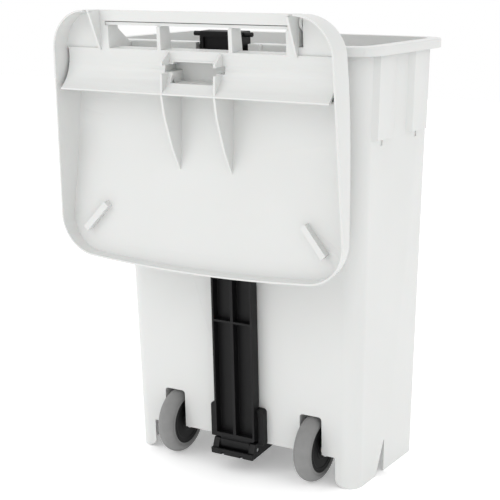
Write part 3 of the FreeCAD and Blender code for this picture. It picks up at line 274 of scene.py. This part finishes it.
def makeTurnedTree(s=turnedSettings):
    # a closed outline, its corners rounded, carried round the X axis
    tree = bpy.data.node_groups.new("turnedSolid", "GeometryNodeTree")
    tree.interface.new_socket("Geometry", in_out="OUTPUT", socket_type="NodeSocketGeometry")
    names = {"outline": addSocket(tree, "Outline", "NodeSocketGeometry"),
             "round": addSocket(tree, "Corner radius", "NodeSocketFloat", 0.5 * mm),
             "centre": addSocket(tree, "Centre", "NodeSocketVector"),
             "finish": addSocket(tree, "Finish", "NodeSocketMaterial")}
    given = addNode(tree, "NodeGroupInput")
    loop = addNode(tree, "GeometryNodeMeshToCurve", links={0: given.outputs["Outline"]})
    corners = addNode(tree, "GeometryNodeFilletCurve", {"mode": "POLY", "Count": s["filletSteps"], "Limit Radius": True},
                      {"Curve": loop.outputs[0], "Radius": given.outputs["Corner radius"]})
    path = addNode(tree, "GeometryNodeCurvePrimitiveCircle", {"Resolution": s["segments"],
                                                             "Radius": s["pathRadius"]})
    sweep = addNode(tree, "GeometryNodeCurveToMesh", links={"Curve": path.outputs[0],
                                                             "Profile Curve": corners.outputs[0]})
    merged = addNode(tree, "GeometryNodeMergeByDistance", {"Distance": 0.002 * mm}, {"Geometry": sweep.outputs[0]})
    stood = addNode(tree, "GeometryNodeTransform", {"Rotation": (0.0, math.pi / 2, 0.0)},
                    {"Geometry": merged.outputs[0], "Translation": given.outputs["Centre"]})
    smooth = addNode(tree, "GeometryNodeSetShadeSmooth", links={0: stood.outputs[0]})
    real = addNode(tree, "GeometryNodeRealizeInstances", links={0: smooth.outputs[0]})
    painted = addNode(tree, "GeometryNodeSetMaterial", links={"Geometry": real.outputs[0],
                                                               "Material": given.outputs["Finish"]})
    addNode(tree, "NodeGroupOutput", links={0: painted.outputs[0]})
    return tree, names


def evaluated(seed, tree, values):
    # runs a tree once on a seed mesh and returns the plain mesh it makes
    holder = bpy.data.objects.new("seed", seed)
    bpy.context.scene.collection.objects.link(holder)
    build = holder.modifiers.new("build", "NODES")
    for name, value in values.items():
        build[name] = value
    build.node_group = tree
    for name, value in values.items():
        build[name] = value
    holder.update_tag()
    bpy.context.view_layer.update()
    mesh = bpy.data.meshes.new_from_object(holder.evaluated_get(bpy.context.evaluated_depsgraph_get()))
    holder.modifiers.remove(build)
    bpy.data.objects.remove(holder)
    return mesh


def joined(name, meshes, finish):
    # one plain mesh with outward faces from several
    work = bmesh.new()
    for mesh in meshes:
        work.from_mesh(mesh)
    bmesh.ops.recalc_face_normals(work, faces=work.faces)
    whole = bpy.data.meshes.new(name)
    work.to_mesh(whole)
    work.free()
    whole.materials.clear()
    whole.materials.append(finish)
    whole.polygons.foreach_set("material_index", [0] * len(whole.polygons))
    whole.polygons.foreach_set("use_smooth", [True] * len(whole.polygons))
    whole.set_sharp_from_angle(angle=math.radians(32))
    return whole


def placePiece(name, mesh):
    piece = bpy.data.objects.new(name + "_detailed", mesh)
    bpy.context.scene.collection.objects.link(piece)
    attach(piece, bodyOf[name])
    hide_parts(name)
    return piece


turnedTree, turnedInputs = makeTurnedTree()


def turnedMesh(points, roundMm, y, z, finish):
    # points are (x, radius) round the outline, all in metres
    outline = bpy.data.meshes.new("outline")
    count = len(points)
    outline.from_pydata([(radius - turnedSettings["pathRadius"], -x, 0.0) for x, radius in points],
                        [(i, (i + 1) % count) for i in range(count)], [])
    return evaluated(outline, turnedTree, {turnedInputs["round"]: roundMm * mm,
                                           turnedInputs["centre"]: (0.0, y, z), turnedInputs["finish"]: finish})


def turnedPiece(name, outlines, roundMm, finish):
    low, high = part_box(name)
    y, z = (low[1] + high[1]) / 2, (low[2] + high[2]) / 2
    return placePiece(name, joined(name, [turnedMesh(points, roundMm, y, z, finish) for points in outlines], finish))


def boxShape(name):
    # middle along X, half length, and radius of a turned frame part
    low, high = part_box(name)
    return (low[0] + high[0]) / 2, (high[0] - low[0]) / 2, (high[2] - low[2]) / 2


wheelSettings = {"tread": 11.0, "shoulder": 2.6, "crease": 0.9, "creaseInset": 4.2, "capThick": 3.0,
                 "capDish": 0.9, "rimBand": 5.0, "barrel": 13.5, "bushRadius": 8.5, "axleBore": 6.05}


def makeWheel(side, s=wheelSettings):
    mid, half, radius = boxShape("tyre_" + side)
    seat = boxShape("wheel_hub_" + side)[2]
    shoulder = radius - s["tread"] * mm
    arc = []
    # crown of the tread, an arc through both shoulders
    rise = s["tread"] * mm
    big = (half * half + rise * rise) / (2 * rise)
    for step in range(25):
        x = -half + 2 * half * step / 24
        arc.append((mid + x, shoulder + math.sqrt(big * big - x * x) - (big - rise)))
    flat = s["creaseInset"] * mm
    cut = s["crease"] * mm
    face = shoulder - flat
    tyre = [(mid - half, seat), (mid - half, face - cut), (mid - half + cut, face), (mid - half, face + cut)]
    tyre += arc
    tyre += [(mid + half, face + cut), (mid + half - cut, face), (mid + half, face - cut), (mid + half, seat)]
    turnedPiece("tyre_" + side, [tyre], 0.4, rubber)
    mid, half, radius = boxShape("wheel_hub_" + side)
    outer = half - 1.0 * mm - s["capThick"] * mm - 1.0 * mm
    band, barrel, bush = radius - s["rimBand"] * mm, s["barrel"] * mm, s["bushRadius"] * mm
    flank = half - 1.0 * mm - 1.0 * mm
    edge = half - 1.0 * mm
    hub = [(mid - edge, radius), (mid - edge, band), (mid - outer, band), (mid - outer, band - 2 * mm),
           (mid - 5 * mm, band - 3 * mm), (mid - 3 * mm, barrel + 3 * mm), (mid - outer, barrel),
           (mid - half, barrel), (mid - half, bush), (mid + half, bush), (mid + half, barrel),
           (mid + outer, barrel), (mid + 3 * mm, barrel + 3 * mm), (mid + 5 * mm, band - 3 * mm),
           (mid + outer, band - 2 * mm), (mid + outer, band), (mid + edge, band), (mid + edge, radius)]
    turnedPiece("wheel_hub_" + side, [hub], 0.5, black)
    for face in ("outer", "inner"):
        name = face + "_hub_cap_" + side
        mid, half, radius = boxShape(name)
        out = (1 if side == "right" else -1) * (1 if face == "outer" else -1)
        dish = s["capDish"] * mm
        barrel = s["barrel"] * mm
        cap = [(mid - out * half, barrel), (mid + out * half, barrel), (mid + out * half, barrel + 5 * mm),
               (mid + out * (half - dish), barrel + 7 * mm), (mid + out * (half - dish), radius - 5 * mm),
               (mid + out * half, radius - 3 * mm), (mid + out * half, radius), (mid - out * half, radius)]
        turnedPiece(name, [cap], 0.5, black)
    mid, half, radius = boxShape("wheel_bush_" + side)
    bore = s["axleBore"] * mm
    turnedPiece("wheel_bush_" + side, [[(mid - half, bore), (mid - half, radius), (mid + half, radius),
                                        (mid + half, bore)]], 0.35, nylon)


def makePin(name, finish, chamferMm, boreMm=0.05):
    # a plain round pin with chamfered ends and lathe centres in them
    mid, half, radius = boxShape(name)
    c = chamferMm * mm
    core = boreMm * mm
    dimple = min(1.6 * mm, radius / 3)
    outline = [(mid - half + dimple, core), (mid - half, dimple), (mid - half, radius - c), (mid - half + c, radius),
               (mid + half - c, radius), (mid + half, radius - c), (mid + half, dimple), (mid + half - dimple, core)]
    turnedPiece(name, [outline], 0.2, finish)


axleSettings = {"shaft": 6.0, "headHigh": 3.0, "chamfer": 0.8, "core": 0.05}


def makeWheelAxle(side, s=axleSettings):
    # a headed stub: the head is outside, the nut end inside
    name = "wheel_axle_" + side
    low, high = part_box(name)
    out = 1 if side == "right" else -1
    tip, head = (low[0], high[0]) if out > 0 else (high[0], low[0])
    radius, shaft = (high[2] - low[2]) / 2, s["shaft"] * mm
    c, core, under = s["chamfer"] * mm, s["core"] * mm, head - out * s["headHigh"] * mm
    outline = [(tip, core), (tip, shaft - c), (tip + out * c, shaft), (under, shaft), (under, radius - 0.3 * mm),
               (head - out * 1.2 * mm, radius), (head - out * 0.3 * mm, radius - 1.4 * mm), (head, radius - 3 * mm),
               (head, core)]
    turnedPiece(name, [outline], 0.25, steel)


nutSettings = {"proud": 5.8, "thick": 1.2, "coneOut": 3.2, "wellHalf": 26.4, "blockOut": 48.5}


def makePushNuts(s=nutSettings):
    # dished spring nuts, from the same places as the axle ends
    meshes = []
    wheelMid, _, _ = boxShape("tyre_right")
    low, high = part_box("tyre_right")
    spots = [(side * (wheelMid - s["wellHalf"] * mm), -side, (low[1] + high[1]) / 2, (low[2] + high[2]) / 2,
              axleSettings["shaft"] * mm) for side in (-1, 1)]
    low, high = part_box("lever_axle")
    spots += [(side * s["blockOut"] * mm, side, (low[1] + high[1]) / 2, (low[2] + high[2]) / 2,
               (high[2] - low[2]) / 2) for side in (-1, 1)]
    for face, way, y, z, shaft in spots:
        proud, thick, cone = s["proud"] * mm, s["thick"] * mm, s["coneOut"] * mm
        ring = [(face + way * 0.0, shaft + proud - 0.8 * mm), (face, shaft + proud), (face + way * thick, shaft + proud),
                (face + way * cone, shaft + 0.05 * mm), (face + way * (cone - thick), shaft + 0.05 * mm)]
        meshes.append(turnedMesh(ring, 0.15, y, z, steel))
    placePiece("push_nuts", joined("push_nuts", meshes, steel))


for side in ("left", "right"):
    makeWheel(side)
    makeWheelAxle(side)
    makePin("hinge_pin_" + side, steel, 0.6)
makePin("head_pin", black, 0.6)
makePin("foot_pin", steel, 0.6)
makePin("lever_axle", steel, 0.8)
makePushNuts()
print("turned pieces: wheels, axles, pins and push nuts")

# ---- screws ----

screwSettings = {"rim": {"headRadius": 4.0, "neckRadius": 2.0, "headHigh": 2.2, "shankRadius": 2.0, "length": 13.0,
                         "recess": 1.9},
                 "strap": {"headRadius": 4.0, "neckRadius": 4.0, "headHigh": 1.8, "shankRadius": 2.2, "length": 8.1,
                           "recess": 1.9},
                 "guide": {"headRadius": 2.2, "neckRadius": 2.2, "headHigh": 1.2, "shankRadius": 2.2, "length": 5.7,
                           "recess": 1.3},
                 "block": {"headRadius": 4.2, "neckRadius": 4.2, "headHigh": 2.4, "shankRadius": 2.2, "length": 10.4,
                           "recess": 1.9}}


def makeScrewTree():
    # a head with a cross recess on a shank, stood on every point and turned to its facing
    tree = bpy.data.node_groups.new("crossRecessScrews", "GeometryNodeTree")
    tree.interface.new_socket("Geometry", in_out="OUTPUT", socket_type="NodeSocketGeometry")
    names = {"points": addSocket(tree, "Points", "NodeSocketGeometry")}
    for name in ("headRadius", "neckRadius", "headHigh", "shankRadius", "length", "recess"):
        names[name] = addSocket(tree, name, "NodeSocketFloat", 1 * mm)
    names["finish"] = addSocket(tree, "Finish", "NodeSocketMaterial")
    given = addNode(tree, "NodeGroupInput").outputs

    def combined(value, sign=1.0):
        scaled = addNode(tree, "ShaderNodeMath", {"operation": "MULTIPLY", 1: sign}, {0: value})
        return addNode(tree, "ShaderNodeCombineXYZ", links={"Z": scaled.outputs[0]}).outputs[0]

    def turned(size, angle, link):
        bar = addNode(tree, "GeometryNodeMeshCube", links={"Size": link})
        return addNode(tree, "GeometryNodeTransform", {"Rotation": (0, 0, angle)}, {"Geometry": bar.outputs[0]})

    head = addNode(tree, "GeometryNodeMeshCone", {"Vertices": 48},
                   {"Radius Top": given["headRadius"], "Radius Bottom": given["neckRadius"],
                    "Depth": given["headHigh"]})
    headDown = addNode(tree, "GeometryNodeTransform", links={"Geometry": head.outputs[0],
                                                             "Translation": combined(given["headHigh"], -1.0)})
    shank = addNode(tree, "GeometryNodeMeshCylinder", {"Vertices": 32},
                    {"Radius": given["shankRadius"], "Depth": given["length"]})
    shankDown = addNode(tree, "GeometryNodeTransform", links={"Geometry": shank.outputs[0],
                                                              "Translation": combined(given["length"], -0.5)})
    size = addNode(tree, "ShaderNodeCombineXYZ", {"Y": 0.75 * mm}, {"X": addNode(
        tree, "ShaderNodeMath", {"operation": "MULTIPLY", 1: 2.0}, {0: given["recess"]}).outputs[0], "Z": given["recess"]})
    bars = [turned(size, 0.0, size.outputs[0]), turned(size, math.pi / 2, size.outputs[0])]
    both = addNode(tree, "GeometryNodeJoinGeometry", links={0: bars[0].outputs[0]})
    tree.links.new(bars[1].outputs[0], both.inputs[0])
    solid = addNode(tree, "GeometryNodeMeshBoolean", {"operation": "UNION"})
    tree.links.new(headDown.outputs[0], solid.inputs[1])
    tree.links.new(shankDown.outputs[0], solid.inputs[1])
    cut = addNode(tree, "GeometryNodeMeshBoolean", {"operation": "DIFFERENCE"}, {"Mesh 1": solid.outputs[0]})
    for bar in bars:
        tree.links.new(bar.outputs[0], cut.inputs[1])
    facing = addNode(tree, "GeometryNodeInputNamedAttribute", {"data_type": "FLOAT_VECTOR", "Name": "facing"})
    turn = addNode(tree, "FunctionNodeAlignRotationToVector", {"axis": "Z"}, {"Vector": facing.outputs[0]})
    stood = addNode(tree, "GeometryNodeInstanceOnPoints", links={"Points": given["Points"], "Instance": cut.outputs[0],
                                                                  "Rotation": turn.outputs[0]})
    real = addNode(tree, "GeometryNodeRealizeInstances", links={0: stood.outputs[0]})
    painted = addNode(tree, "GeometryNodeSetMaterial", links={"Geometry": real.outputs[0],
                                                               "Material": given["Finish"]})
    addNode(tree, "NodeGroupOutput", links={0: painted.outputs[0]})
    return tree, names


screwTree, screwInputs = makeScrewTree()


def screwMesh(spots, sizes):
    # spots are (place, facing) pairs; the place is the middle of the head's top face
    seed = bpy.data.meshes.new("screwSpots")
    seed.from_pydata([place for place, _ in spots], [], [])
    seed.attributes.new("facing", "FLOAT_VECTOR", "POINT")
    seed.attributes["facing"].data.foreach_set("vector", [c for _, facing in spots for c in facing])
    values = {screwInputs[name]: value * mm for name, value in sizes.items()}
    values[screwInputs["finish"]] = steel
    return evaluated(seed, screwTree, values)


def alongWall(x, out, z):
    # a place measured out from the sloping rear wall
    slope = math.atan(27.7 / 780.0)
    below = (z - 780.0) * mm
    y, up = out * mm, below
    lean = -slope
    return (x * mm, wallTop + y * math.cos(lean) - up * math.sin(lean),
            780 * mm + y * math.sin(lean) + up * math.cos(lean))


def makeScrews(s=screwSettings):
    rim = [((side * x * mm, wallTop + 9 * mm, 780 * mm), (0, 0, 1)) for side in (-1, 1) for x in (105, 160, 228)]
    placePiece("bracket_screws", joined("bracket_screws", [screwMesh(rim, s["rim"])], steel))
    lean = math.atan(27.7 / 780.0)
    out = (0, math.cos(lean), -math.sin(lean))
    strap = [(alongWall(side * 56.6, 5.8, 654), out) for side in (-1, 1)]
    guide = [(alongWall(side * 25.0, 3.4, 118), out) for side in (-1, 1)]
    placePiece("guide_screws", joined("guide_screws", [screwMesh(strap, s["strap"]), screwMesh(guide, s["guide"])],
                                      steel))
    pivotY = (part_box("lever_axle")[0][1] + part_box("lever_axle")[1][1]) / 2
    block = [((side * 56.5 * mm, pivotY + y * mm, 120.6 * mm), (0, 0, -1)) for side in (-1, 1) for y in (-17, 17)]
    placePiece("block_screws", joined("block_screws", [screwMesh(block, s["block"])], steel))


makeScrews()
print("screws: rim, guide and block sets")

# ---- floor, light and camera ----

def makeFloor(s=stageSettings):
    half = s["floorSize"] / 2
    mesh = bpy.data.meshes.new("floor")
    corners = [(-half, -half, 0), (half, -half, 0), (half, half, 0), (-half, half, 0)]
    mesh.from_pydata(corners, [], [(0, 1, 2, 3)])
    mesh.materials.append(paintedStudioFloor())
    floor = bpy.data.objects.new("floor", mesh)
    bpy.context.scene.collection.objects.link(floor)


def makeLight(name, place, aim, size, power):
    lamp = bpy.data.lights.new(name, "AREA")
    lamp.shape = "RECTANGLE"
    lamp.size, lamp.size_y = size
    lamp.energy = power
    holder = bpy.data.objects.new(name, lamp)
    holder.location = place
    holder.rotation_euler = (Vector(aim) - Vector(place)).to_track_quat("-Z", "Y").to_euler()
    bpy.context.scene.collection.objects.link(holder)


def makeWorld(s=stageSettings):
    world = bpy.data.worlds.new("studio")
    world.use_nodes = True
    world.node_tree.nodes["Background"].inputs[0].default_value = (1, 1, 1, 1)
    world.node_tree.nodes["Background"].inputs[1].default_value = s["sky"]
    bpy.context.scene.world = world


makeFloor()
makeWorld()
centre = (0, 0, 0.45)
makeLight("keySoftbox", (1.6, 2.6, 2.4), centre, (1.8, 1.8), stageSettings["key"])
makeLight("fillSoftbox", (-2.8, 1.2, 1.6), centre, (1.6, 2.2), stageSettings["fill"])
makeLight("topSoftbox", (0.2, -0.6, 3.2), centre, (2.2, 2.2), stageSettings["back"])

cameraSettings = {"target": (-95.1, 98.1, 446.3), "azimuth": 211.3, "elevation": 12.64, "roll": -0.24,
                  "distance": 2167.6, "lens": 93.9}


def makeCamera(s=cameraSettings):
    azimuth, elevation, roll = (math.radians(s[key]) for key in ("azimuth", "elevation", "roll"))
    target = Vector((s["target"][0] * mm, wallTop + s["target"][1] * mm, s["target"][2] * mm))
    back = Vector((math.sin(azimuth) * math.cos(elevation), -math.cos(azimuth) * math.cos(elevation),
                   math.sin(elevation)))
    right = (-back).cross(Vector((0, 0, 1))).normalized()
    up = right.cross(-back)
    turned = (right * math.cos(roll) + up * math.sin(roll), up * math.cos(roll) - right * math.sin(roll), back)
    camera = bpy.data.objects.new("camera", bpy.data.cameras.new("camera"))
    camera.data.lens = s["lens"]
    camera.data.sensor_width = 36.0
    camera.data.clip_end = 50.0
    place = Matrix([list(axis) for axis in turned]).transposed().to_4x4()
    place.translation = target + back * s["distance"] * mm
    camera.matrix_world = place
    bpy.context.scene.collection.objects.link(camera)
    bpy.context.scene.camera = camera


makeCamera()
bpy.context.scene.view_settings.view_transform = "Standard"
print("stage, lights and camera ready")
